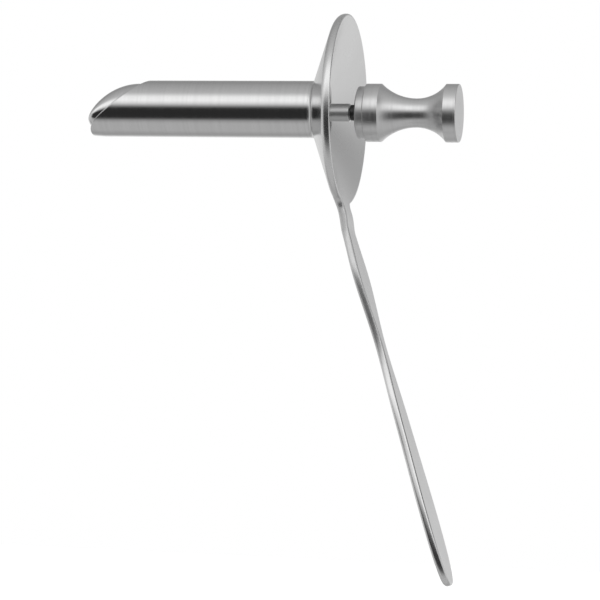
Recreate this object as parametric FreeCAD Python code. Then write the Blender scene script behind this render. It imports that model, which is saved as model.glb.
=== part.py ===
"""Anoscope: a bevelled steel tube brazed into a dished flange with a long flat
handle, and an obturator of plug, rod and turned knob that slides in the tube.

Frame, in millimetres: the origin is on the tube's axis where the tube meets the
flange. X runs along the tube, its tip at -X and the knob at +X. The handle hangs
towards -Z, and Y goes from one side of the handle to the other.
"""
import FreeCAD, Part
import math
import os

from FreeCAD import Vector

os.makedirs("parts", exist_ok=True)

# Tube
tube_outer_diameter = 22.4
tube_wall = 1.2
barrel_length = 91.8            # from the flange to the tip
bevel_length = 24.0             # from the upper end of the bevel to the tip
bevel_angle = 40.0              # between the bevel and the axis, in degrees
bevel_tip_radius = 11.0         # round that turns the bevel down at the tip
mouth_turn_in = 0.45            # how far the tip is closed in, which seats the plug
mouth_turn_length = 7.0
tube_edge_break = 0.35          # chamfer round the oblique mouth, on both walls
throat_edge_break = 0.4

# Flange and handle, one stamping
flange_diameter = 74.7
flange_slope = 21.4             # of the dish, from a flat disc, in degrees
sheet_thickness = 3.05
rim_break = 0.6                 # chamfer all round the stamping, on both faces
handle_lean = 18.3              # from the vertical, in degrees
handle_length = 153.4           # from the rim to the tip
root_width = 14.3
root_fillet = 4.0
bend_distance = 7.0             # from the rim to the slight bend between dish and handle
bend_length = 7.0
handle_set_forward = 1.0        # of the handle at the bend, ahead of the dish's slope
pad_distance, pad_width = 28.0, 20.6
waist_distance, waist_width = 56.0, 8.8
shoulder_distance, shoulder_width = 79.0, 14.9
flare_distance, flare_width = 100.0, 19.3
grip_distance, grip_width = 126.0, 23.6

# Braze fillet between tube and flange
braze_radius = 1.6
braze_flats = 3                 # flats that make up its hollow face

# Obturator
plug_clearance = 0.07           # running fit in the tube, on the radius
plug_length = 30.0              # of the round part behind the nose
plug_back_chamfer = 1.0
nose_stand_out = 0.3            # how far the nose stands out past the tube's tip
nose_arc = 21.0                 # radius of the nose's top, seen from the side
nose_tip_rise = 4.5             # height of the nose's tip above the plug's floor
nose_last_turn = 84.0           # where the nose ends in a small flat, in degrees of its curve
nose_steps = 9                  # flats that make up the nose's curve
rod_drop = 1.2                  # the rod lies this far below the tube's axis
rod_diameter = 7.1
rod_socket_depth = 12.0
rod_shoulder = 13.3             # from the flange to the rod's free end
rod_chamfer = 0.7
stud_diameter = 4.8
stud_depth = 8.0
stud_fit = 0.02                 # on the radius

# Knob, turned from bar
neck_diameter = 6.2
neck_length = 3.75
collar_diameter = 20.7
collar_length = 3.35
collar_chamfer = 1.2            # on the radius; a third of it along the axis
body_diameter = 22.7
front_land_length = 5.9         # from the collar's step to the waist's first corner
waist_front_length = 13.95
waist_back_length = 11.75
knob_waist_diameter = 11.3
waist_flats = 4                 # that make up each side of the knob's hollow waist
back_land_length = 5.0
knob_edge_break = 0.35

# Values worked out from the sizes above
tube_radius = tube_outer_diameter / 2
bore_radius = tube_radius - tube_wall
plug_radius = bore_radius - plug_clearance
flange_radius = flange_diameter / 2
rod_radius = rod_diameter / 2
slope = math.radians(flange_slope)
lean = math.radians(handle_lean)
sheet_depth = sheet_thickness / math.cos(slope)     # through the dish, along X
nose_tip_x = -(barrel_length + nose_stand_out)
nose_drop = 2 * plug_radius - nose_tip_rise         # from the plug's top down to the nose's tip
nose_length = math.sqrt(nose_arc ** 2 - (nose_arc - nose_drop) ** 2)
nose_start_x = nose_tip_x + nose_length


def dish_x(radius):
    """X of the dish's outer face at a distance from the axis."""
    return (radius - tube_radius) * math.tan(slope)


def line(start, end):
    return Part.makeLine(start, end)


def arc(start, middle, end):
    return Part.Arc(start, middle, end).toShape()


def polygon(points):
    return [line(a, b) for a, b in zip(points, points[1:] + points[:1])]


def flat_face(edges):
    return Part.Face(Part.Wire(Part.__sortEdges__(edges)))


def turned(edges, axis_height=0.0):
    """Solid turned about a line along X from a profile drawn in the XZ plane."""
    return flat_face(edges).revolve(Vector(0, 0, axis_height), Vector(1, 0, 0), 360)


def at(x, z):
    return Vector(x, 0, z)


def mouth_edge(radius):
    """Edge of the closed-in tip, an arc that leaves the straight wall smoothly."""
    start_x = -(barrel_length - mouth_turn_length)
    middle_x = -(barrel_length - mouth_turn_length / 2)
    return arc(at(start_x, radius), at(middle_x, radius - mouth_turn_in / 4),
               at(-barrel_length, radius - mouth_turn_in))


def bevel_cutter():
    """What the oblique cut takes away: a straight bevel with a rounded tip."""
    angle = math.radians(bevel_angle)
    corner_z = tube_radius - bevel_length * math.tan(angle)
    tangent = bevel_tip_radius * math.tan((math.pi / 2 - angle) / 2)
    on_bevel = at(-barrel_length + tangent * math.cos(angle), corner_z + tangent * math.sin(angle))
    centre = at(-barrel_length + bevel_tip_radius, corner_z - tangent)
    turn = (math.pi / 2 - angle) / 2
    middle = centre + at(-math.cos(turn), math.sin(turn)) * bevel_tip_radius
    tip = at(-barrel_length, corner_z - tangent)
    top_z = 2 * tube_radius
    top = at(bevel_length - barrel_length + (top_z - tube_radius) / math.tan(angle), top_z)
    far_x = -barrel_length - tube_outer_diameter
    low_z = min(tip.z, -tube_radius) - tube_radius
    outline = [line(top, on_bevel), arc(on_bevel, middle, tip)]
    outline += [line(a, b) for a, b in zip(
        [tip, at(-barrel_length, low_z), at(far_x, low_z), at(far_x, top_z)],
        [at(-barrel_length, low_z), at(far_x, low_z), at(far_x, top_z), top])]
    face = flat_face(outline)
    face.translate(Vector(0, -tube_outer_diameter, 0))
    return face.extrude(Vector(0, 2 * tube_outer_diameter, 0))


def make_barrel_tube():
    """Thin tube: turned with its tip closed in a little, then cut obliquely."""
    turn_x = -(barrel_length - mouth_turn_length)
    outer_end = at(sheet_depth, tube_radius)
    throat_x = dish_x(bore_radius) + sheet_depth
    throat_break = min(throat_edge_break, tube_wall / 3)
    throat_flat = at(throat_x, bore_radius + throat_break)
    throat_bore = at(throat_x - throat_break, bore_radius)
    profile = [line(outer_end, at(turn_x, tube_radius)), mouth_edge(tube_radius),
               line(at(-barrel_length, tube_radius - mouth_turn_in),
                    at(-barrel_length, bore_radius - mouth_turn_in)),
               mouth_edge(bore_radius), line(at(turn_x, bore_radius), throat_bore),
               line(throat_bore, throat_flat), line(throat_flat, outer_end)]
    tube = turned(profile).cut(bevel_cutter())
    mouth = [edge for edge in tube.Edges if is_bevel_edge(edge)]
    return tube.makeChamfer(min(tube_edge_break, tube_wall / 3), mouth)


def is_bevel_edge(edge):
    """True for an edge round the oblique cut, on the outer or the inner wall."""
    box = edge.BoundBox
    beyond = box.XMax < bevel_length - barrel_length + tube_wall * 3
    return beyond and (box.XLength > tube_wall / 2 or box.YLength > tube_radius / 4)


def make_dish():
    """Dished disc with the stub of the handle, its edges broken, cut off at the bend."""
    blank_radius = flange_radius + 2 * bend_distance
    outer = [at(dish_x(tube_radius), tube_radius), at(dish_x(blank_radius), blank_radius)]
    inner = [point + Vector(sheet_depth, 0, 0) for point in reversed(outer)]
    outline = flat_face(dish_outline())
    outline.translate(Vector(-flange_diameter, 0, 0))
    dish = turned(polygon(outer + inner)).common(outline.extrude(Vector(2 * flange_diameter, 0, 0)))
    dish = dish.makeChamfer(min(rim_break, sheet_thickness / 3), [e for e in dish.Edges if is_rim_edge(e)])
    cut_z = -(flange_radius + bend_distance - bend_length / 2)
    below = Part.makeBox(*[4 * flange_diameter] * 3)
    below.translate(Vector(-2 * flange_diameter, -2 * flange_diameter, cut_z - 4 * flange_diameter))
    return dish.cut(below)


def dish_outline():
    """Round rim with the handle's stub and its two fillets, in the YZ plane."""
    half = root_width / 2
    reach = flange_radius + root_fillet
    centre = Vector(0, half + root_fillet, -math.sqrt(reach ** 2 - (half + root_fillet) ** 2))
    on_rim = centre * (flange_radius / reach)
    on_root = centre - Vector(0, root_fillet, 0)
    middle = centre + (on_rim + on_root - centre * 2).normalize() * root_fillet
    corner = Vector(0, half, -(flange_radius + 2 * bend_distance))
    return [arc(on_rim, Vector(0, 0, flange_radius), other_side(on_rim)),
            arc(on_rim, middle, on_root), line(on_root, corner), line(corner, other_side(corner)),
            line(other_side(corner), other_side(on_root)),
            arc(other_side(on_root), other_side(middle), other_side(on_rim))]


def other_side(point):
    return Vector(point.x, -point.y, point.z)


def is_rim_edge(edge):
    """True for an edge of the rim, its fillets or the stub's sides, on either face."""
    box = edge.BoundBox
    middle = edge.valueAt((edge.FirstParameter + edge.LastParameter) / 2)
    outside = math.hypot(middle.y, middle.z) > flange_radius - 0.01
    across_stub = box.ZMax < -(flange_radius + bend_distance)
    through_sheet = box.YLength < 1e-3 and box.ZLength < 1e-3
    return outside and not across_stub and not through_sheet


def bend_point():
    """Middle of the sheet at the bend, where the handle's bar is leaned."""
    bend_radius = flange_radius + bend_distance
    return at(dish_x(bend_radius) + sheet_depth / 2 - handle_set_forward, -bend_radius)


def make_bar():
    """Flat bar: a pad, a waist and a wide round-ended grip, its edges broken.

    It is drawn hanging from the bend, then leaned about it.
    """
    start = bend_length / 2
    end = handle_length - bend_distance
    stations = [(start, root_width), (pad_distance - bend_distance, pad_width),
                (waist_distance - bend_distance, waist_width),
                (shoulder_distance - bend_distance, shoulder_width),
                (flare_distance - bend_distance, flare_width),
                (grip_distance - bend_distance, grip_width)]
    side = [Vector(0, width / 2, -distance) for distance, width in stations]
    down = Vector(0, 0, -1)
    curve = Part.BSplineCurve()
    curve.interpolate(Points=side, InitialTangent=down, FinalTangent=down, Scale=False)
    wide = Vector(0, grip_width / 2, grip_width / 2 - end)
    half_outline = [curve.toShape(), line(side[-1], wide)]
    edges = half_outline + [edge.mirror(Vector(0, 0, 0), Vector(0, 1, 0)) for edge in half_outline]
    edges += [arc(wide, Vector(0, 0, -end), other_side(wide)), line(side[0], other_side(side[0]))]
    face = flat_face(edges)
    face.translate(Vector(-sheet_thickness / 2, 0, 0))
    bar = face.extrude(Vector(sheet_thickness, 0, 0))
    long_edges = [edge for edge in bar.Edges
                  if edge.BoundBox.XLength < 1e-6 and edge.BoundBox.ZLength > 1e-3]
    bar = bar.makeChamfer(min(rim_break, sheet_thickness / 3), long_edges)
    bar.rotate(Vector(0, 0, 0), Vector(0, 1, 0), -handle_lean)
    bar.translate(bend_point())
    return bar


def nearest_face(shape, point):
    return min(shape.Faces, key=lambda face: face.CenterOfMass.distanceToPoint(point))


def make_flange_handle():
    """One stamping: the dished flange bends slightly into the flat handle."""
    dish = make_dish()
    bar = make_bar()
    ends = [nearest_face(part, bend_point()).OuterWire for part in (dish, bar)]
    return dish.fuse([Part.makeLoft(ends, True, True), bar])


def make_braze_ring():
    """Hollow-faced fillet of braze in the corner between tube and flange."""
    corner_angle = math.pi / 2 + slope
    leg = braze_radius / math.tan(corner_angle / 2)
    corner = at(0, tube_radius)
    on_tube = at(-leg, tube_radius)
    on_dish = corner + at(math.sin(slope), math.cos(slope)) * leg
    centre = on_tube + at(0, braze_radius)
    first, last = on_tube - centre, on_dish - centre
    sweep = first.getAngle(last)
    hollow = []
    for step in range(braze_flats + 1):
        turn = -math.pi / 2 + sweep * step / braze_flats
        hollow.append(centre + at(math.cos(turn), math.sin(turn)) * braze_radius)
    return turned(polygon([corner] + hollow))


def nose_section(x):
    """Ellipse across the nose at a given X.

    Its top lies on the nose's arc. Its floor follows the tube's closed-in mouth, then
    rounds up to the tip. Its width keeps the plug's curve at the floor, which stays in
    the bore.
    """
    top_z = plug_radius - nose_arc + math.sqrt(nose_arc ** 2 - (nose_start_x - x) ** 2)
    past_mouth = max(0.0, -(barrel_length - mouth_turn_length) - x)
    into_round = max(0.0, nose_tip_x + nose_tip_rise - x)
    floor_z = -plug_radius + mouth_turn_in * (past_mouth / mouth_turn_length) ** 2
    floor_z += nose_tip_rise - math.sqrt(nose_tip_rise ** 2 - into_round ** 2)
    half_height = (top_z - floor_z) / 2
    half_width = math.sqrt(plug_radius * half_height)
    centre = at(x, (top_z + floor_z) / 2)
    ellipse = Part.Ellipse(centre + Vector(0, half_width, 0), centre + Vector(0, 0, half_height), centre)
    return Part.Wire([ellipse.toShape()])


def make_obturator_head():
    """Solid plug with a quarter-round oblique nose, bored behind for the rod."""
    back_x = nose_start_x + plug_length
    chamfer = plug_back_chamfer
    profile = [at(nose_start_x, 0), at(nose_start_x, plug_radius), at(back_x - chamfer, plug_radius),
               at(back_x, plug_radius - chamfer), at(back_x, 0)]
    plug = turned(polygon(profile))
    turns = [math.radians(nose_last_turn * i / nose_steps) for i in range(nose_steps + 1)]
    sections = [nose_section(nose_start_x - nose_length * math.sin(turn)) for turn in turns]
    nose = Part.makeLoft(sections, True, True)
    socket = Part.makeCylinder(rod_radius, rod_socket_depth, at(back_x, -rod_drop), Vector(-1, 0, 0))
    return plug.fuse(nose).cut(socket)


def make_obturator_stem():
    """Round rod from the plug's socket to its chamfered shoulder, bored for the stud."""
    start_x = nose_start_x + plug_length - rod_socket_depth
    profile = [at(start_x, 0), at(start_x, rod_radius), at(rod_shoulder - rod_chamfer, rod_radius),
               at(rod_shoulder, rod_radius - rod_chamfer), at(rod_shoulder, 0)]
    rod = turned(polygon(profile))
    bore = Part.makeCylinder(stud_diameter / 2, stud_depth, at(rod_shoulder, 0), Vector(-1, 0, 0))
    rod = rod.cut(bore)
    rod.translate(at(0, -rod_drop))
    return rod


def make_grip_knob():
    """Spool-shaped knob turned in one with its neck and the stud in the rod."""
    stud_radius = stud_diameter / 2 - stud_fit
    neck_radius = neck_diameter / 2
    face_x = rod_shoulder + neck_length
    step_x = face_x + collar_length
    corner_x = step_x + front_land_length
    waist_x = corner_x + waist_front_length
    back_x = waist_x + waist_back_length
    end_x = back_x + back_land_length
    body = body_diameter / 2
    collar = collar_diameter / 2
    waist = knob_waist_diameter / 2
    edge = knob_edge_break
    front = [at(rod_shoulder - stud_depth, 0), at(rod_shoulder - stud_depth, stud_radius),
             at(rod_shoulder, stud_radius), at(rod_shoulder, neck_radius), at(face_x, neck_radius),
             at(face_x, collar - collar_chamfer), at(face_x + collar_chamfer / 3, collar),
             at(step_x, collar), at(step_x, body - edge), at(step_x + edge, body), at(corner_x, body)]
    tail = [at(back_x, body), at(end_x - edge, body), at(end_x, body - edge), at(end_x, 0), front[0]]
    edges = [line(a, b) for a, b in zip(front, front[1:])]
    hollow = waist_side(corner_x, body, waist_x, waist)
    hollow += reversed(waist_side(back_x, body, waist_x, waist)[:-1])
    edges += [line(a, b) for a, b in zip(hollow, hollow[1:])]
    edges += [line(a, b) for a, b in zip(tail, tail[1:])]
    knob = turned(edges)
    knob.translate(at(0, -rod_drop))
    return knob


def waist_side(corner_x, corner_r, waist_x, waist_r):
    """Points along one side of the hollow waist, an arc that is level where it is narrowest."""
    across = corner_x - waist_x
    rise = corner_r - waist_r
    radius = (across ** 2 + rise ** 2) / (2 * rise)
    whole_turn = math.asin(across / radius)
    turns = [whole_turn * (1 - step / waist_flats) for step in range(waist_flats + 1)]
    return [at(waist_x + radius * math.sin(turn), waist_r + radius * (1 - math.cos(turn)))
            for turn in turns]


sub_parts = {
    "barrel_tube": make_barrel_tube,
    "flange_handle": make_flange_handle,
    "braze_ring": make_braze_ring,
    "obturator_head": make_obturator_head,
    "obturator_stem": make_obturator_stem,
    "grip_knob": make_grip_knob,
}

for node, make in sub_parts.items():
    shape = make()
    box = shape.BoundBox
    print(node, "valid", shape.isValid(), "solids", len(shape.Solids), "volume %.1f" % shape.Volume,
          "X %.2f to %.2f, Z %.2f to %.2f" % (box.XMin, box.XMax, box.ZMin, box.ZMax))
    shape.exportStep("parts/%s.step" % node)
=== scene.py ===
"""Anoscope in stainless steel: a bevelled tube brazed to a dished flange with a long flat
handle, and an obturator with a rounded nose, a rod and a turned knob."""
import math

import bmesh
import bpy
import numpy as np
from mathutils import Matrix, Vector


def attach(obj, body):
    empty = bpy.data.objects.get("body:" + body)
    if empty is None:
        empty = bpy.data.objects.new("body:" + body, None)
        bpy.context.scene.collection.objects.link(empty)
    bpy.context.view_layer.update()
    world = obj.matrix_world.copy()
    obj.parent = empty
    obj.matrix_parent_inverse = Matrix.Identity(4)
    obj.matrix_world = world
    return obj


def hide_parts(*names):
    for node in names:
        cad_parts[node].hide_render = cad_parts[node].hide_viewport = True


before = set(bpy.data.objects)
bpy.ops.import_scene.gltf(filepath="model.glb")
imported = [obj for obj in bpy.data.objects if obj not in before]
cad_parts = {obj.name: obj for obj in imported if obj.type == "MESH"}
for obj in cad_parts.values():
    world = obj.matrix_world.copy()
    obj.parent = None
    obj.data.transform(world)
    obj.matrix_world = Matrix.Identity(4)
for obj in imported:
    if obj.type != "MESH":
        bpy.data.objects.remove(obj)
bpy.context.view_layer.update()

# Camera.
# A long lens, level with the lower half of the handle, looks up a little at the object
# from its left side. The object hangs slightly turned in the frame.
camera_azimuth = math.radians(12.75)
camera_elevation = math.radians(-5.0)
camera_roll = math.radians(2.435)
camera_distance = 0.937
camera_target = Vector((-0.003165, 0, -0.07526))
focal_length_px = 2400
picture_width_px = 600
to_camera = Vector((math.sin(camera_azimuth) * math.cos(camera_elevation),
                    -math.cos(camera_azimuth) * math.cos(camera_elevation),
                    math.sin(camera_elevation)))
level_right = Vector((math.cos(camera_azimuth), math.sin(camera_azimuth), 0))
level_up = to_camera.cross(level_right)
right = level_right * math.cos(camera_roll) + level_up * math.sin(camera_roll)
up = to_camera.cross(right)
camera_data = bpy.data.cameras.new("camera")
camera_data.sensor_width = 36
camera_data.lens = camera_data.sensor_width * focal_length_px / picture_width_px
camera_data.clip_end = 20
camera = bpy.data.objects.new("camera", camera_data)
bpy.context.scene.collection.objects.link(camera)
turn = Matrix((right, up, to_camera)).transposed().to_4x4()
camera.matrix_world = Matrix.Translation(camera_target + camera_distance * to_camera) @ turn
bpy.context.scene.camera = camera
bpy.context.scene.view_settings.view_transform = "Standard"


def add_node(tree, kind, settings=None, **links):
    """Adds one shader node, sets its properties and values, and links its inputs."""
    node = tree.nodes.new("ShaderNode" + kind)
    for name, value in (settings or {}).items():
        if isinstance(name, int) or name in node.inputs:
            node.inputs[name].default_value = value
        else:
            setattr(node, name, value)
    for name, source in links.items():
        socket = node.inputs[int(name[2:])] if name.startswith("at") else node.inputs[name.replace("_", " ")]
        tree.links.new(source, socket)
    return node


# Studio.
# A soft white dome with one bright panel above the camera, and a dark room behind the
# camera. The steel mirrors it as bands: bright above, dark just below eye level, grey
# further down.
# The camera itself sees plain white.
world = bpy.data.worlds.new("studio")
bpy.context.scene.world = world
world.use_nodes = True
sky = world.node_tree
sky.nodes.clear()
split = add_node(sky, "SeparateXYZ", Vector=add_node(sky, "TexCoord").outputs["Generated"])
towards_camera = add_node(sky, "Math", {"operation": "MULTIPLY", 1: -1.0}, at0=split.outputs["Y"])
angle = add_node(sky, "Math", {"operation": "ARCTAN2"}, at0=split.outputs["Z"], at1=towards_camera.outputs[0])
whole_turn = add_node(sky, "MapRange", {"From Min": -math.pi, "From Max": math.pi}, Value=angle.outputs[0])
dome = add_node(sky, "ValToRGB", Fac=whole_turn.outputs[0])
# Degrees up from the camera's side, over the top and down behind, against brightness.
dome_levels = [(-180, 0.86), (-165, 0.90), (-150, 0.50), (-134, 0.46), (-109, 0.60), (-71, 0.60),
               (-59, 0.45), (-50, 0.12), (-45, 0.035), (-9, 0.03), (-3, 0.12), (3, 0.42), (8, 0.72),
               (15, 1.08), (25, 1.36), (41, 1.26), (52, 0.86), (61, 0.66), (82, 0.56), (108, 0.46),
               (126, 0.37), (148, 0.38), (163, 0.62), (180, 0.86)]
ramp = dome.color_ramp
while len(ramp.elements) < len(dome_levels):
    ramp.elements.new(0.5)
for element, (degrees, level) in zip(ramp.elements, dome_levels):
    element.position = (degrees + 180) / 360
    element.color = (level, level, level, 1)
side_level = 0.80
side_start = 0.80               # how far round to the side it starts, 1 is square to it
sideways = add_node(sky, "Math", {"operation": "ABSOLUTE"}, at0=split.outputs["X"])
to_side = add_node(sky, "MapRange", {"From Min": side_start, "From Max": 1.0}, Value=sideways.outputs[0])
dome_and_side = add_node(sky, "MixRGB", {"Color2": (side_level, side_level, side_level, 1)},
                         Fac=to_side.outputs[0], Color1=dome.outputs["Color"])
# A dark card stands to the right of the camera and draws the thin dark line along the
# corner between the handle's edge and its face.
card_azimuth, card_elevation = math.radians(8), math.radians(25)
card_half_width, card_half_height = math.radians(22), math.radians(11)
card_level = 0.10
card_blur = 0.2
azimuth = add_node(sky, "Math", {"operation": "ARCTAN2"}, at0=split.outputs["Y"], at1=split.outputs["X"])
elevation = add_node(sky, "Math", {"operation": "ARCSINE"}, at0=split.outputs["Z"])
beside = add_node(sky, "Math", {"operation": "MULTIPLY_ADD", 1: 1 / card_half_width,
                                2: -card_azimuth / card_half_width}, at0=azimuth.outputs[0])
above = add_node(sky, "Math", {"operation": "MULTIPLY_ADD", 1: 1 / card_half_height,
                               2: -card_elevation / card_half_height}, at0=elevation.outputs[0])
from_card = add_node(sky, "VectorMath", {"operation": "LENGTH"},
                     at0=add_node(sky, "CombineXYZ", X=beside.outputs[0], Y=above.outputs[0]).outputs[0])
card = add_node(sky, "MapRange", {"From Min": 1 + card_blur, "From Max": 1 - card_blur},
                Value=from_card.outputs["Value"])
carded = add_node(sky, "MixRGB", {"Color2": (card_level, card_level, card_level, 1)}, Fac=card.outputs[0],
                  Color1=dome_and_side.outputs[0])
dome_light = add_node(sky, "Background", Color=carded.outputs[0])
white = add_node(sky, "Background", {"Color": (1, 1, 1, 1)})
shown = add_node(sky, "MixShader", Fac=add_node(sky, "LightPath").outputs["Is Camera Ray"],
                 at1=dome_light.outputs[0], at2=white.outputs[0])
add_node(sky, "OutputWorld", Surface=shown.outputs[0])


def linear(hex_colour):
    """sRGB hex to linear, by the standard curve."""
    srgb = [int(hex_colour[i:i + 2], 16) / 255 for i in (1, 3, 5)]
    return [c / 12.92 if c <= 0.04045 else ((c + 0.055) / 1.055) ** 2.4 for c in srgb] + [1.0]


def new_material(name):
    """An empty node material, and its node tree."""
    material = bpy.data.materials.new(name)
    material.use_nodes = True
    material.node_tree.nodes.clear()
    return material, material.node_tree


# Floor.
# A white board under the object, which takes its shadow. The steel doesn't mirror the
# board, so that its bands come from the dome alone.
floor_height = -0.30
floor_reach = 6.0
floor_mesh = bpy.data.meshes.new("floor")
corners = [(x, y, floor_height) for x, y in ((-1, -1), (1, -1), (1, 1), (-1, 1))]
floor_mesh.from_pydata([(x * floor_reach, y * floor_reach, z) for x, y, z in corners], [], [(0, 1, 2, 3)])
floor = bpy.data.objects.new("floor", floor_mesh)
bpy.context.scene.collection.objects.link(floor)
floor.visible_glossy = False
board, tree = new_material("white_painted_board")
paint = add_node(tree, "BsdfPrincipled", {"Base Color": linear("#F4F4F4"), "Roughness": 0.8})
glow = add_node(tree, "Emission", {"Color": (1, 1, 1, 1), "Strength": 0.55})
seen = add_node(tree, "LightPath").outputs["Is Camera Ray"]
seen_glow = add_node(tree, "MixShader", Fac=seen, at2=glow.outputs[0])
glowing_paint = add_node(tree, "AddShader", at0=paint.outputs[0], at1=seen_glow.outputs[0])
add_node(tree, "OutputMaterial", Surface=glowing_paint.outputs[0])
floor_mesh.materials.append(board)


# Tube.
# A drawn stainless tube, cut obliquely at the tip, where its mouth is closed in a little
# to seat the plug. Its cut edge is rounded all the way round and polished.
mm = 0.001


def skin(name, *grids, polish=None):
    """A closed skin on grids of points, each (points, wraps by rows, wraps by columns):
    quads join each row to the next and each column to the next, and the last to the first
    where it wraps. Points that meet are merged, and the faces are turned outwards. Each
    point may carry a polish, which a material reads."""
    vertices = []
    quads = []
    first = 0
    for points, wrap_rows, wrap_columns in grids:
        rows, columns = points.shape[:2]
        i = np.arange(rows if wrap_rows else rows - 1)[:, None]
        j = np.arange(columns if wrap_columns else columns - 1)[None, :]
        below, beside = (i + 1) % rows, (j + 1) % columns
        corners = np.stack([i * columns + j, below * columns + j, below * columns + beside,
                            i * columns + beside], -1)
        quads.append(corners.reshape(-1, 4) + first)
        vertices.append(points.reshape(-1, 3))
        first += rows * columns
    mesh = bpy.data.meshes.new(name)
    mesh.from_pydata((np.concatenate(vertices) * mm).tolist(), [], np.concatenate(quads).tolist())
    if polish is not None:
        mesh.attributes.new("polish", "FLOAT", "POINT").data.foreach_set("value", polish)
    merge_distance = 1e-7
    shortest_edge = 1e-8
    work = bmesh.new()
    work.from_mesh(mesh)
    bmesh.ops.remove_doubles(work, verts=work.verts, dist=merge_distance)
    bmesh.ops.dissolve_degenerate(work, dist=shortest_edge, edges=work.edges)
    bmesh.ops.recalc_face_normals(work, faces=work.faces)
    work.to_mesh(mesh)
    work.free()
    mesh.shade_smooth()
    piece = bpy.data.objects.new(name, mesh)
    bpy.context.scene.collection.objects.link(piece)
    return piece


def between(start, end, count, crowd_end=1.0):
    """Numbers from start to end, crowded towards the end by a power."""
    return start + (end - start) * (1 - (1 - np.linspace(0, 1, count)) ** crowd_end)


tube_radius = 11.2
tube_wall = 1.2
tube_length = 91.8
bevel_length = 24.0
bevel_angle = math.radians(40.0)
bevel_tip_radius = 11.0
mouth_turn_in = 0.45
mouth_turn_length = 7.0
lip_outer_round = 0.85
lip_inner_round = 0.3
dish_slope = math.radians(21.4)
sheet_thickness = 3.05
sheet_depth = sheet_thickness / math.cos(dish_slope)
throat_break = 0.4
bore_radius = tube_radius - tube_wall
bevel_corner_z = tube_radius - bevel_length * math.tan(bevel_angle)
bevel_tangent = bevel_tip_radius * math.tan((math.pi / 2 - bevel_angle) / 2)
bevel_round_z = bevel_corner_z + bevel_tangent * math.sin(bevel_angle)


def bevel_x(z):
    """X of the oblique cut at a height: a straight bevel, then an arc down to the tip."""
    straight = bevel_length - tube_length - (tube_radius - z) / math.tan(bevel_angle)
    down = np.clip((z - (bevel_corner_z - bevel_tangent)) / bevel_tip_radius, -1, 1)
    rounded = bevel_tip_radius - tube_length - bevel_tip_radius * np.sqrt(1 - down ** 2)
    return np.where(z > bevel_round_z, straight, rounded)


def mouth_radius(radius, x):
    """Radius of a wall of the tube at X: straight, then closing in as a parabola."""
    past = np.clip((-x - tube_length + mouth_turn_length) / mouth_turn_length, 0, 1)
    return radius - mouth_turn_in * past ** 2


def wall_end(radius, turn, depth=0.0):
    """X where the oblique cut meets a wall at each angle round the tube. The wall's radius
    depends on X in turn, so it is found in a few rounds."""
    x = np.full_like(turn, bevel_length - tube_length)
    for step in range(6):
        x = bevel_x((mouth_radius(radius, x) - depth) * np.sin(turn))
    return x


around = np.linspace(0, 2 * np.pi, 288, endpoint=False)
rows = []
outer_end = wall_end(tube_radius, around) + lip_outer_round
for x in between(sheet_depth, 0, 2):
    rows.append((np.full_like(around, x), np.full_like(around, tube_radius)))
for share in between(0, 1, 60, 2.0)[1:]:
    x = share * outer_end
    rows.append((x, mouth_radius(tube_radius, x)))
for share in (1 - np.cos(np.linspace(0, np.pi, 21)[1:-1])) / 2:
    depth = tube_wall * share
    outer = depth < lip_outer_round
    lip_round, from_wall = (lip_outer_round, depth) if outer else (lip_inner_round, tube_wall - depth)
    set_back = lip_round - math.sqrt(lip_round ** 2 - max(0.0, lip_round - from_wall) ** 2)
    x = wall_end(tube_radius, around, depth) + set_back
    rows.append((x, mouth_radius(tube_radius, x) - depth))
inner_end = wall_end(tube_radius, around, tube_wall) + lip_inner_round
throat_x = sheet_depth - tube_wall * math.tan(dish_slope)
for share in between(0, 1, 60, 2.0)[::-1]:
    x = (throat_x - throat_break) * (1 - share) + inner_end * share
    rows.append((x, mouth_radius(bore_radius, x)))
rows.append((np.full_like(around, throat_x), np.full_like(around, bore_radius + throat_break)))
grid = np.array([np.stack([x, -radius * np.cos(around), radius * np.sin(around)], -1)
                 for x, radius in rows])
tube = skin("barrel_tube_skin", (grid, True, True))


def worked_steel(name, colour, roughness, ring_spacing, ring_depth, streaks, axis_height=0.0):
    """Steel worked round an axis along X: fine rings, each a little duller or brighter
    than the next. They are noise of X and of the distance from the axis, in millimetres,
    so that they run round a barrel and round the middle of an end face alike."""
    material, tree = new_material(name)
    place = add_node(tree, "TexCoord").outputs["Object"]
    centred = add_node(tree, "VectorMath", {"operation": "SUBTRACT", 1: (0, 0, axis_height * mm)}, at0=place)
    across = add_node(tree, "VectorMath", {"operation": "MULTIPLY", 1: (0, 1, 1)}, at0=centred.outputs[0])
    distance = add_node(tree, "VectorMath", {"operation": "LENGTH"}, at0=across.outputs[0])
    along = add_node(tree, "SeparateXYZ", Vector=centred.outputs[0])
    section = add_node(tree, "CombineXYZ", X=along.outputs["X"], Y=distance.outputs["Value"])
    rings = add_node(tree, "TexNoise", {"noise_dimensions": "2D", "Scale": 1 / (ring_spacing * mm),
                                        "Detail": 3.0, "Roughness": 0.6}, Vector=section.outputs[0])
    level = add_node(tree, "MapRange", {"From Min": 0.3, "From Max": 0.7, "To Min": roughness - streaks,
                                        "To Max": roughness + streaks}, Value=rings.outputs["Fac"])
    duller = [c * 0.9 for c in linear(colour)[:3]] + [1]
    shade = add_node(tree, "MixRGB", {"Color1": linear(colour), "Color2": duller}, Fac=rings.outputs["Fac"])
    bump = add_node(tree, "Bump", {"Strength": 1.0, "Distance": ring_depth * mm}, Height=rings.outputs["Fac"])
    steel = add_node(tree, "BsdfPrincipled", {"Metallic": 1.0}, Base_Color=shade.outputs[0],
                     Roughness=level.outputs[0], Normal=bump.outputs[0])
    add_node(tree, "OutputMaterial", Surface=steel.outputs[0])
    return material


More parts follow.
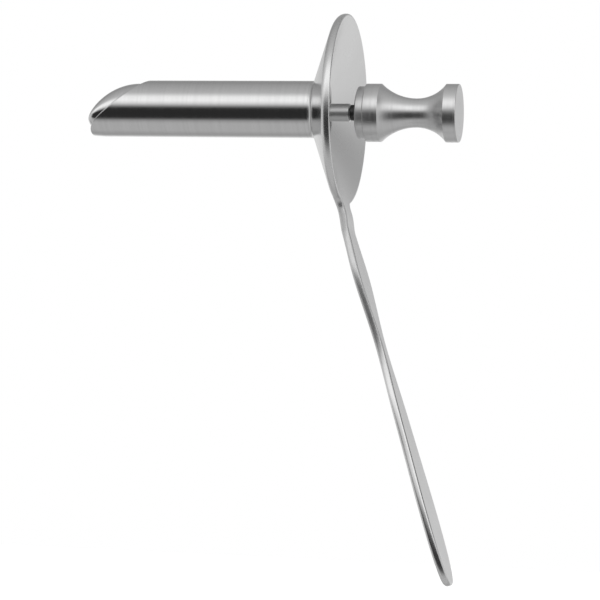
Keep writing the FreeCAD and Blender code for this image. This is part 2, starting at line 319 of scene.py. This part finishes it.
# Stainless steel, belt-polished round the tube: near mirror, with faint rings that blur
# the edges of its dark and bright bands.
tube.data.materials.append(worked_steel("stainless_steel_belt_polished", "#D4D4D4", 0.15, 0.9, 0.0006, 0.03))
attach(tube, "sheath")
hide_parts("barrel_tube")


# Flange and handle.
# One stamping of stainless sheet: a dished disc whose rim runs out through two fillets
# into a flat handle with a pad, a waist and a wide oval end. Its edges are rounded.
flange_radius = 37.35
handle_lean = math.radians(18.3)
handle_length = 153.4
root_width = 14.3
root_fillet = 4.0
bend_distance = 7.0
bend_blend = 5.0
bar_start = 3.5
handle_set_forward = 1.0
pad_distance, pad_width = 28.0, 20.6
waist_distance, waist_width = 56.0, 8.8
shoulder_distance, shoulder_width = 79.0, 14.9
flare_distance, flare_width = 100.0, 19.3
grip_distance, grip_width = 126.0, 23.6
front_round = 1.5
back_round = 1.0
end_squareness = 2.5
bend_radius = flange_radius + bend_distance
bend_x = (bend_radius - tube_radius) * math.tan(dish_slope) + sheet_depth / 2 - handle_set_forward


def in_sheet(y, s, level):
    """Points of the sheet at a distance y from its middle line, a height s on its flat
    pattern and a level through it, from -1 on the outer face to 1 on the inner one. Above
    the bend the pattern lies on a cone round the tube, below it on the handle's plane, and
    an even S-curve leads from one to the other."""
    cone_x = (np.hypot(y, s) - tube_radius) * math.tan(dish_slope) + sheet_depth / 2
    below = -bend_radius - s
    share = np.clip((below + bend_blend) / (2 * bend_blend), 0, 1)
    share = share * share * (3 - 2 * share)
    x = cone_x * (1 - share) + (bend_x + below * math.sin(handle_lean)) * share
    z = s * (1 - share) + (-bend_radius - below * math.cos(handle_lean)) * share
    half_x = sheet_depth / 2 * (1 - share) + sheet_thickness / 2 * math.cos(handle_lean) * share
    half_z = sheet_thickness / 2 * math.sin(handle_lean) * share
    return np.stack(np.broadcast_arrays(x + half_x * level, y, z + half_z * level), -1)


def even_curve(stations, count):
    """Cubic curve through points, straight down the handle at both ends. Its slopes at
    the points come from the condition that its bending is the same on both sides."""
    steps = np.linalg.norm(np.diff(stations, axis=0), axis=1)
    system = np.eye(len(stations))
    wanted = np.zeros_like(stations)
    wanted[[0, -1]] = 0, -1
    for k in range(1, len(stations) - 1):
        before, after = steps[k - 1], steps[k]
        system[k, k - 1:k + 2] = 1 / before, 2 / before + 2 / after, 1 / after
        arriving, leaving = stations[k] - stations[k - 1], stations[k + 1] - stations[k]
        wanted[k] = 3 * (arriving / before ** 2 + leaving / after ** 2)
    slopes = np.linalg.solve(system, wanted)
    starts = np.concatenate([[0], np.cumsum(steps)])
    at = np.linspace(0, starts[-1], count)
    k = np.clip(np.searchsorted(starts, at) - 1, 0, len(steps) - 1)
    step = steps[k][:, None]
    t = ((at - starts[k]) / steps[k])[:, None]
    return (stations[k] * (1 + 2 * t) * (1 - t) ** 2 + slopes[k] * step * t * (1 - t) ** 2
            + stations[k + 1] * t * t * (3 - 2 * t) + slopes[k + 1] * step * t * t * (t - 1))


def arc_points(centre, radius, first, last, count):
    """Points of an arc between two angles."""
    turns = np.linspace(first, last, count)
    return np.asarray(centre) + radius * np.stack([np.cos(turns), np.sin(turns)], -1)


# One side of the flat pattern, from the rim down to the tip: fillet, root, curve, end.
fillet_y = root_width / 2 + root_fillet
fillet_s = -math.sqrt((flange_radius + root_fillet) ** 2 - fillet_y ** 2)
fillet = arc_points((fillet_y, fillet_s), root_fillet, math.atan2(-fillet_s, -fillet_y), math.pi, 16)
stations = np.array([(root_width / 2, -bend_radius - bar_start)]
                    + [(width / 2, -flange_radius - distance) for distance, width in (
                        (pad_distance, pad_width), (waist_distance, waist_width),
                        (shoulder_distance, shoulder_width), (flare_distance, flare_width),
                        (grip_distance, grip_width))])
root = np.linspace(fillet[-1], stations[0], 10)
tip_s = -flange_radius - handle_length
# The end is a superellipse: a quarter circle whose sine and cosine are raised to the power
# 2 / end_squareness, then drawn out lengthwise.
end_shape = np.array([1, (stations[-1, 1] - tip_s) / (grip_width / 2)])
quarter = arc_points((0, 0), 1, 0, -math.pi / 2, 80)
round_end = (stations[-1] * [0, 1]
             + end_shape * grip_width / 2 * np.sign(quarter) * np.abs(quarter) ** (2 / end_squareness))
side = np.concatenate([fillet, root[1:], even_curve(stations, 130)[1:], round_end[1:]])
run = np.concatenate([[0], np.cumsum(np.linalg.norm(np.diff(side, axis=0), axis=1))])
heading = np.gradient(side, run, axis=0)
side_out = np.stack([-heading[:, 1], heading[:, 0]], -1) / np.linalg.norm(heading, axis=1)[:, None]
side_out[0] = side[0] / flange_radius
side_out[-1] = 0, -1
rim_turn = math.atan2(side[0, 1], side[0, 0])
rim = arc_points((0, 0), flange_radius, rim_turn, math.pi - rim_turn, 300)[1:-1]
mirrored = np.array([-1, 1])
outline = np.concatenate([rim, side * mirrored, side[-2::-1]])
outline_out = np.concatenate([rim / flange_radius, side_out * mirrored, side_out[-2::-1]])

# The edge all round: a wide rounding on the outer face, a wall, a narrow one inside.
half_depth = sheet_thickness / 2
round_turns = np.linspace(0, math.pi / 2, 9)
edge_inset = np.concatenate([front_round * (1 - np.sin(round_turns)),
                             back_round * (1 - np.cos(round_turns))])
edge_level = np.concatenate([front_round / half_depth * (1 - np.cos(round_turns)) - 1,
                             1 - back_round / half_depth * (1 - np.sin(round_turns))])
edge_rows = outline[None] - edge_inset[:, None, None] * outline_out[None]
edge_strip = in_sheet(edge_rows[..., 0], edge_rows[..., 1], edge_level[:, None])

# Polish: 0 on the faces, a little more on the edges, below 0 on the edge round the root
# and the pad, which is dull, and up to 1 on the dish's outer face near the tube.
edge_polish = 0.2
dull_polish = -1.0
dull_start, dull_start_fade = 32, 5     # down from the axis
dull_end, dull_end_fade = 112, 20
bright_radius, bright_fade = 24, 16     # out from the axis
grids = [(edge_strip, False, True)]
down = -outline[:, 1]
dulled = np.clip((down - dull_start) / dull_start_fade, 0, 1)
dulled = dulled * np.clip((dull_end - down) / dull_end_fade, 0, 1)
polish_share = [np.tile(edge_polish + (dull_polish - edge_polish) * dulled, len(edge_inset))]
across = np.sin(np.linspace(-math.pi / 2, math.pi / 2, 37))
first_row = np.stack([side[0, 0] * across, np.full_like(across, side[0, 1])], -1)
spokes = np.concatenate([rim, first_row])
hole = tube_radius * spokes / np.linalg.norm(spokes, axis=1)[:, None]
for level, inset in ((-1, front_round), (1, back_round)):
    sides = side - inset * side_out
    handle_face = in_sheet(sides[:, :1] * across, sides[:, 1:] + 0 * across, level)
    top_row = np.stack([sides[0, 0] * across, np.full_like(across, sides[0, 1])], -1)
    outer = np.concatenate([rim * (1 - inset / flange_radius), top_row])
    share = between(0, 1, 26, 2.0)[:, None, None]
    flat = hole * (1 - share) + outer * share
    grids += [(handle_face, False, False), (in_sheet(flat[..., 0], flat[..., 1], level), False, True)]
    from_axis = np.hypot(flat[..., 0], flat[..., 1])
    bright = (level < 0) * (1 - np.clip((from_axis - bright_radius) / bright_fade, 0, 1))
    polish_share += [np.zeros(handle_face.shape[0] * handle_face.shape[1]), bright.ravel()]
hole_wall = in_sheet(hole[None, :, 0], hole[None, :, 1], np.array([-1.0, 1.0])[:, None])
grids.append((hole_wall, False, True))
polish_share.append(np.zeros(2 * len(hole)))
sheet = skin("flange_handle_skin", *grids, polish=np.concatenate(polish_share))


def satin_sheet(name, colour, roughness, grain_width, grain_length, grain_depth):
    """Brushed sheet: grain is noise stretched along Z, with a broad cloudiness under it.
    Where the points' polish is above 0 it is smoother than the faces, below 0 duller."""
    cloud_size, cloud_change = 9, 0.015
    grain_change = 0.03
    polished_change = -0.17
    material, tree = new_material(name)
    place = add_node(tree, "TexCoord").outputs["Object"]
    stretched = add_node(tree, "Mapping", {"Scale": (1 / (grain_width * mm), 1 / (grain_width * mm),
                                                     1 / (grain_length * mm))}, Vector=place)
    grain = add_node(tree, "TexNoise", {"Scale": 1.0, "Detail": 4.0, "Roughness": 0.65},
                     Vector=stretched.outputs[0])
    clouds = add_node(tree, "TexNoise", {"Scale": 1 / (cloud_size * mm), "Detail": 2.0}, Vector=place)
    polish = add_node(tree, "Attribute", {"attribute_name": "polish"})
    uneven = add_node(tree, "MapRange", {"From Min": 0.3, "From Max": 0.7,
                                         "To Min": roughness - cloud_change,
                                         "To Max": roughness + cloud_change},
                      Value=clouds.outputs["Fac"])
    streaked = add_node(tree, "MapRange", {"From Min": 0.3, "From Max": 0.7, "To Min": -grain_change,
                                           "To Max": grain_change}, Value=grain.outputs["Fac"])
    face = add_node(tree, "Math", {"operation": "ADD"}, at0=uneven.outputs[0], at1=streaked.outputs[0])
    level = add_node(tree, "Math", {"operation": "MULTIPLY_ADD", 1: polished_change},
                     at0=polish.outputs["Fac"], at2=face.outputs[0])
    duller = [c * 0.94 for c in linear(colour)[:3]] + [1]
    shade = add_node(tree, "MixRGB", {"Color1": linear(colour), "Color2": duller}, Fac=grain.outputs["Fac"])
    bump = add_node(tree, "Bump", {"Strength": 1.0, "Distance": grain_depth * mm},
                    Height=grain.outputs["Fac"])
    steel = add_node(tree, "BsdfPrincipled", {"Metallic": 1.0}, Base_Color=shade.outputs[0],
                     Roughness=level.outputs[0], Normal=bump.outputs[0])
    add_node(tree, "OutputMaterial", Surface=steel.outputs[0])
    return material


# Stainless sheet, brushed lengthwise: a soft grey sheen with fine grain. Its edges are a
# little smoother, dull round the root and the pad, and the dish is bright near the tube.
sheet.data.materials.append(satin_sheet("stainless_steel_brushed_sheet", "#DADADA", 0.30, 0.30, 7.0, 0.0005))
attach(sheet, "sheath")
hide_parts("flange_handle")


# Braze.
# Silver braze run into the corner between the tube and the dish. It draws itself into a
# smooth hollow and is left a little softer than the steel.
braze_radius = 1.6
corner_angle = math.pi / 2 + dish_slope
leg = braze_radius / math.tan(corner_angle / 2)
columns = np.linspace(0, 2 * np.pi, 240, endpoint=False)


def turned(name, profile, axis_height=0.0):
    """The skin that a profile of (x, radius) sweeps round a line along X."""
    x, radius = np.asarray(profile).T[:, :, None]
    ring = np.stack([x + 0 * columns, radius * np.cos(columns), radius * np.sin(columns) + axis_height], -1)
    return skin(name, (ring, False, True))


hollow = arc_points((-leg, tube_radius + braze_radius), braze_radius, -math.pi / 2, -dish_slope, 20)
corner = np.array([(0.0, tube_radius)])
braze = turned("braze_ring_skin", np.concatenate([corner, hollow, corner]))
braze.data.materials.append(worked_steel("silver_braze_smoothed", "#D6D6D6", 0.22, 1.4, 0.0008, 0.03))
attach(braze, "sheath")
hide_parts("braze_ring")


# Obturator head.
# A solid stainless plug that runs in the tube. Its nose is ground to a long round that
# slopes as the tube's mouth does, and polished, so that it enters smoothly.
plug_clearance = 0.07
plug_radius = bore_radius - plug_clearance
plug_length = 30.0
plug_back_chamfer = 1.0
nose_stand_out = 0.3
nose_arc = 21.0
nose_tip_rise = 4.5
nose_tip_x = -(tube_length + nose_stand_out)
nose_drop = 2 * plug_radius - nose_tip_rise
nose_length = math.sqrt(nose_arc ** 2 - (nose_arc - nose_drop) ** 2)
nose_start_x = nose_tip_x + nose_length
nose_last_turn = math.radians(83.6)
nose_turn = np.linspace(nose_last_turn, 0, 90)
nose_x = nose_start_x - nose_length * np.sin(nose_turn)
top = plug_radius - nose_arc + np.sqrt(nose_arc ** 2 - (nose_start_x - nose_x) ** 2)
past_mouth = np.clip(mouth_turn_length - tube_length - nose_x, 0, None)
into_round = np.clip(nose_tip_x + nose_tip_rise - nose_x, 0, nose_tip_rise)
bottom = -plug_radius + mouth_turn_in * (past_mouth / mouth_turn_length) ** 2
bottom += nose_tip_rise - np.sqrt(nose_tip_rise ** 2 - into_round ** 2)
height = np.maximum(top - bottom, 0)

# Across the nose, s is the height above its floor, t its share of the section's height,
# and c the section's height over the plug's diameter. The half width squared is the
# plug's diameter times s (1 - c t - (1 - c) t^fullness). That is the plug's own circle
# where the nose starts, and fuller than an ellipse towards the tip.
fullness = 3.0
up = (1 - np.cos(np.linspace(0, np.pi, 61))) / 2
rise = height[:, None] * up
narrowed = height[:, None] / (2 * plug_radius)
narrowing = 1 - narrowed * up - (1 - narrowed) * up ** fullness
half_width = np.sqrt(np.maximum(2 * plug_radius * rise * narrowing, 0))
nose_half = np.stack([nose_x[:, None] + 0 * up, half_width, bottom[:, None] + rise], -1)
nose_rings = np.concatenate([nose_half, nose_half[:, -2:0:-1] * [1, -1, 1]], 1)
pole_stand_out = 0.01
nose_end = np.repeat(nose_rings[:1].mean(1, keepdims=True) - [pole_stand_out, 0, 0], nose_rings.shape[1], 1)
seen_from_axis = nose_rings[-1] - [nose_rings[-1, 0, 0], 0, 0]
back_x = nose_start_x + plug_length
chamfer_x = back_x - plug_back_chamfer
chamfer_radius = plug_radius - plug_back_chamfer
support = 0.05                  # rows this close to a corner keep the faces beside it flat
seam_row = 1                    # behind the nose's start
back_face_row = 2               # inside the plug's radius, on its back face
back_rows = [(nose_start_x + seam_row, plug_radius), (chamfer_x, plug_radius),
             (chamfer_x + support, plug_radius - support), (back_x - support, chamfer_radius + support),
             (back_x, chamfer_radius), (back_x, plug_radius - back_face_row), (back_x, 0)]
back_rings = [seen_from_axis * radius / plug_radius + [row_x, 0, 0] for row_x, radius in back_rows]
rings = np.concatenate([nose_end, nose_rings, np.array(back_rings)])
head = skin("obturator_head_skin", (rings, False, True))
# Stainless steel ground and buffed all round: slightly sharper bands than the tube's.
head.data.materials.append(worked_steel("stainless_steel_buffed", "#D6D6D6", 0.13, 0.8, 0.0003, 0.02))
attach(head, "obturator")
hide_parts("obturator_head")


# Obturator rod.
# Plain bright stainless rod, brazed into the plug. Its free end is turned to a small
# chamfer where the knob's neck starts.
rod_drop = 1.2
rod_radius = 3.55
rod_socket_depth = 12.0
rod_shoulder = 14.3             # the rod's end, behind the flange
rod_chamfer = 0.7


def rounded(corners):
    """Profile through (x, radius, rounding) corners: each corner becomes an arc, with a
    close point on each side of it that keeps the flats flat."""
    support_gap = 0.04
    points = [np.array([corners[0][:2]])]
    for before, (x, radius, rounding), after in zip(corners, corners[1:], corners[2:]):
        corner = np.array([x, radius])
        inward, onward = corner - before[:2], after[:2] - corner
        inward, onward = inward / np.linalg.norm(inward), onward / np.linalg.norm(onward)
        half_turn = math.acos(max(-1, min(1, float(inward @ onward)))) / 2
        reach = rounding * math.tan(half_turn)
        share = np.linspace(0, 1, 9)[:, None]
        start, end = corner - inward * reach, corner + onward * reach
        centre = corner + (onward - inward) / np.linalg.norm(onward - inward) * rounding / math.cos(half_turn)
        from_start = np.sin((1 - share) * 2 * half_turn) * (start - centre)
        from_end = np.sin(share * 2 * half_turn) * (end - centre)
        bend = centre + (from_start + from_end) / math.sin(2 * half_turn)
        points += [start[None] - inward * support_gap, bend, end[None] + onward * support_gap]
    return np.concatenate(points + [np.array([corners[-1][:2]])])


rod = turned("obturator_stem_skin", rounded([
    (back_x - rod_socket_depth, 0, 0), (back_x - rod_socket_depth, rod_radius, 0.1),
    (rod_shoulder - rod_chamfer, rod_radius, 0.15), (rod_shoulder, rod_radius - rod_chamfer, 0.1),
    (rod_shoulder, 0, 0)]), -rod_drop)
# Drawn bright bar: smooth, with faint rings from the lathe.
rod_steel = worked_steel("stainless_steel_bright_drawn", "#D2D2D2", 0.2, 0.7, 0.0008, 0.04, -rod_drop)
rod.data.materials.append(rod_steel)
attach(rod, "obturator")
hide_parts("obturator_stem")


# Knob.
# Turned in one piece from stainless bar with its neck: a collar, a land, a long hollow
# waist and a back land with a flat faced end. Its corners are broken.
neck_radius = 3.1
neck_length = 2.75              # from the rod's end to the collar
collar_radius = 10.35
collar_length = 3.35
collar_chamfer = 1.2
body_radius = 11.35
front_land_length = 5.9
waist_front_length = 13.95
waist_back_length = 11.75
waist_radius = 5.65
back_land_length = 5.0
edge_break = 0.35
face_x = rod_shoulder + neck_length
step_x = face_x + collar_length
land_x = step_x + front_land_length
waist_x = land_x + waist_front_length
rear_x = waist_x + waist_back_length
end_x = rear_x + back_land_length


def waist_half(edge_x, count):
    """Arc from a land's edge to the narrowest place, level there. Its radius follows from
    its length and its rise."""
    rise = body_radius - waist_radius
    length = abs(edge_x - waist_x)
    radius = (length ** 2 + rise ** 2) / (2 * rise)
    turn = np.linspace(math.asin(length / radius), 0, count)
    return np.stack([waist_x + math.copysign(1, edge_x - waist_x) * radius * np.sin(turn),
                     waist_radius + radius * (1 - np.cos(turn))], -1)


front_hollow = waist_half(land_x, 40)
rear_hollow = waist_half(rear_x, 40)[::-1]
front = rounded([(rod_shoulder, 0, 0), (rod_shoulder, neck_radius, 0.05), (face_x, neck_radius, 0.2),
                 (face_x, collar_radius - collar_chamfer, 0.3),
                 (face_x + collar_chamfer / 3, collar_radius, 0.4),
                 (step_x, collar_radius, 0.08), (step_x, body_radius, edge_break),
                 (land_x, body_radius, 0.15), (*front_hollow[3], 0)])
tail = rounded([(*rear_hollow[-4], 0), (rear_x, body_radius, 0.15), (end_x, body_radius, edge_break),
                (end_x, 0, 0)])
knob = turned("grip_knob_skin", np.concatenate([front, front_hollow[4:], rear_hollow[1:-4], tail]), -rod_drop)
# Stainless steel as the lathe left it, lightly brushed: satin, with rings round it and
# round the middle of its end face.
knob_steel = worked_steel("stainless_steel_lathe_turned", "#DADADA", 0.33, 0.8, 0.0004, 0.05, -rod_drop)
knob.data.materials.append(knob_steel)
# The short neck in front of the knob is darker than the steel on either side of it. This is painted shade: a
# dark grey steel stands for the shadow in the groove between the rod's end and the knob's collar.
neck_painted_shade_steel = worked_steel("stainless_steel_heat_darkened", "#4A4A4A", 0.35, 0.5, 0.0008, 0.05, -rod_drop)
knob.data.materials.append(neck_painted_shade_steel)
# Faces in front of the collar's face take the dark grey painted-shade steel.
for face in knob.data.polygons:
    face.material_index = int(face.center.x < (face_x - 0.1) * mm)
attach(knob, "obturator")
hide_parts("grip_knob")
